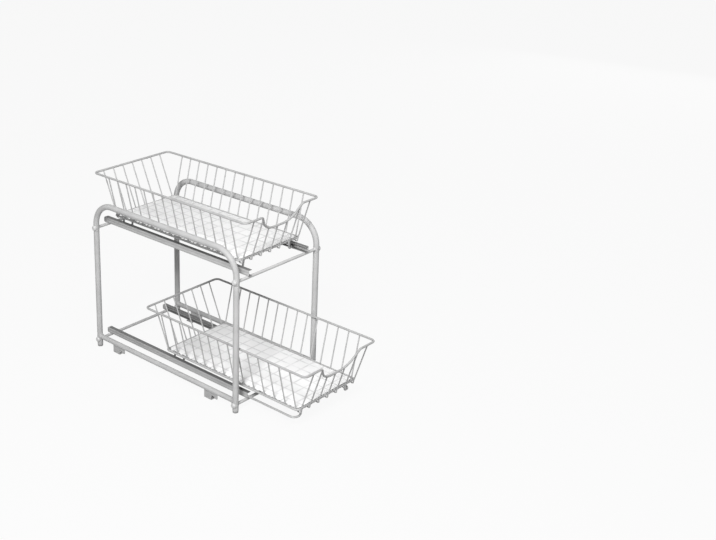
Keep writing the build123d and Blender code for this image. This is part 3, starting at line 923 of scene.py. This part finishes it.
def build_liner(tier, body, shift):
    node = f"{tier}_liner"
    low, high = low_corner(node), high_corner(node)
    radius = LINER_CORNER_R
    corners = [(low.x, low.y), (high.x, low.y), (high.x, high.y), (low.x, high.y)]
    outline = rounded([(x, y, radius) for x, y in corners], 8)
    bm = bmesh.new()
    add_prism(bm, outline, high.z - low.z, Matrix.Translation((0, 0, low.z)), LINER_EDGE)
    material = liner_sheet(f"milky_liner_plastic_{tier}", FIRST_WIRE_Y + shift.y)
    finish_piece(f"{tier}_liner_sheet", bm, material, body, [node])


def build_runners(tier, body, shift):
    for side_name, side in SIDES.items():
        node = f"{tier}_runner_{side_name}"
        run_x, riser_x = side * RUNNER_X, side * RUNNER_RISER_X
        back, link_y, front_weld = SIDE_WIRE_YS[0], SIDE_WIRE_YS[1], SIDE_WIRE_YS[-1]
        front = front_weld + RUNNER_LEAN
        z, top = RUNNER_Z, RUNNER_TOP_Z
        main = [
            (riser_x, back, top),
            (riser_x, back, z),
            (run_x, back, z),
            (run_x, front, z),
            (riser_x, front, z),
            (riser_x, front_weld, top),
        ]
        bends = [RUNNER_BEND_R, RUNNER_TURN_R, RUNNER_TURN_R, RUNNER_BEND_R]
        bm = bmesh.new()
        add_rod(bm, main, RUNNER_R, bends, 16, 8)
        link = [(run_x, link_y, z), (riser_x, link_y, z), (riser_x, link_y, top)]
        add_rod(bm, link, RUNNER_R, RUNNER_BEND_R, 16, 8)
        bead = [(along, RUNNER_R + out) for along, out in RUNNER_BEAD]
        seat_x = run_x - side * RUNNER_R * RUNNER_BEAD_SEAT
        seat = Matrix.Translation((seat_x, link_y, z)) @ turned((-side, 0, 0))
        add_lathe(bm, bead, seat, 18)
        name = f"{tier}_bent_runner_{side_name}"
        finish_piece(name, bm, RUNNER_COAT, body, [node], shift)


def build_basket(tier):
    body = f"{tier}_basket"
    place = centre(f"{tier}_floor_frame")
    shift = Vector((0, place.y - (FLOOR_BACK_Y + FLOOR_FRONT_Y) / 2, place.z))
    build_rods_of_basket(tier, body, shift)
    build_wires_of_basket(tier, body, shift)
    build_liner(tier, body, shift)
    build_runners(tier, body, shift)


# ---- camera, floor and light --------------------------------------------------------
def add_camera():
    camera = bpy.data.objects.new("camera", bpy.data.cameras.new("camera"))
    camera.location = CAMERA_PLACE
    camera.rotation_euler = (math.radians(90 - CAMERA_DOWN), 0, math.radians(CAMERA_TURN))
    camera.data.lens = CAMERA_LENS
    camera.data.shift_x, camera.data.shift_y = CAMERA_SHIFT
    bpy.context.scene.collection.objects.link(camera)
    bpy.context.scene.camera = camera


def add_lamp(name, place, size, power):
    data = bpy.data.lights.new(name, "AREA")
    data.size = size
    data.energy = power
    lamp = bpy.data.objects.new(name, data)
    lamp.location = place
    aim = Vector(LAMP_AIM) - Vector(place)
    lamp.rotation_euler = aim.to_track_quat("-Z", "Y").to_euler()
    bpy.context.scene.collection.objects.link(lamp)


def background_rays(tree):
    """1 for the rays that show the background: seen, mirrored or through glass."""
    rays = tree.nodes.new("ShaderNodeLightPath").outputs
    links = {0: rays["Is Camera Ray"], 1: rays["Is Glossy Ray"]}
    pair = add_node(tree, "ShaderNodeMath", links=links, operation="MAXIMUM")
    links = {0: pair, 1: rays["Is Transmission Ray"]}
    return add_node(tree, "ShaderNodeMath", links=links, operation="MAXIMUM")


def build_world():
    world = bpy.data.worlds.new("studio")
    bpy.context.scene.world = world
    world.use_nodes = True
    tree = world.node_tree
    tree.nodes.clear()
    light = add_node(tree, "ShaderNodeBackground", {"Color": WHITE, "Strength": WORLD_LIGHT})
    seen = add_node(tree, "ShaderNodeBackground", {"Color": WHITE, "Strength": 1.0})
    links = {0: background_rays(tree), 1: light, 2: seen}
    mixed = add_node(tree, "ShaderNodeMixShader", links=links)
    add_end(tree, "ShaderNodeOutputWorld", mixed)


def add_end(tree, kind, surface):
    tree.links.new(surface, tree.nodes.new(kind).inputs["Surface"])


def build_floor():
    bm = bmesh.new()
    bmesh.ops.create_grid(bm, x_segments=1, y_segments=1, size=FLOOR_SIZE / 2)
    mesh = bpy.data.meshes.new("floor")
    bm.to_mesh(mesh)
    bm.free()
    floor = bpy.data.objects.new("floor", mesh)
    bpy.context.scene.collection.objects.link(floor)
    material = bpy.data.materials.new("white_floor")
    material.use_nodes = True
    tree = material.node_tree
    tree.nodes.clear()
    paper = add_node(tree, "ShaderNodeBsdfDiffuse", {"Color": linear(FLOOR_TONE)})
    plain = add_node(tree, "ShaderNodeEmission", {"Color": WHITE, "Strength": 1.0})
    links = {0: background_rays(tree)}
    share = add_node(tree, "ShaderNodeMath", {1: FLOOR_BACKGROUND}, links, operation="MULTIPLY")
    mixed = add_node(tree, "ShaderNodeMixShader", links={0: share, 1: paper, 2: plain})
    add_end(tree, "ShaderNodeOutputMaterial", mixed)
    mesh.materials.append(material)


bpy.context.scene.view_settings.view_transform = "Standard"
build_legs()
build_arches()
build_bars()
build_bolt_caps()
build_feet()
build_channels()
build_channel_stops()
build_brackets()
for tier_name in TIERS:
    build_basket(tier_name)
add_camera()
for lamp_settings in LAMPS:
    add_lamp(*lamp_settings)
build_world()
build_floor()
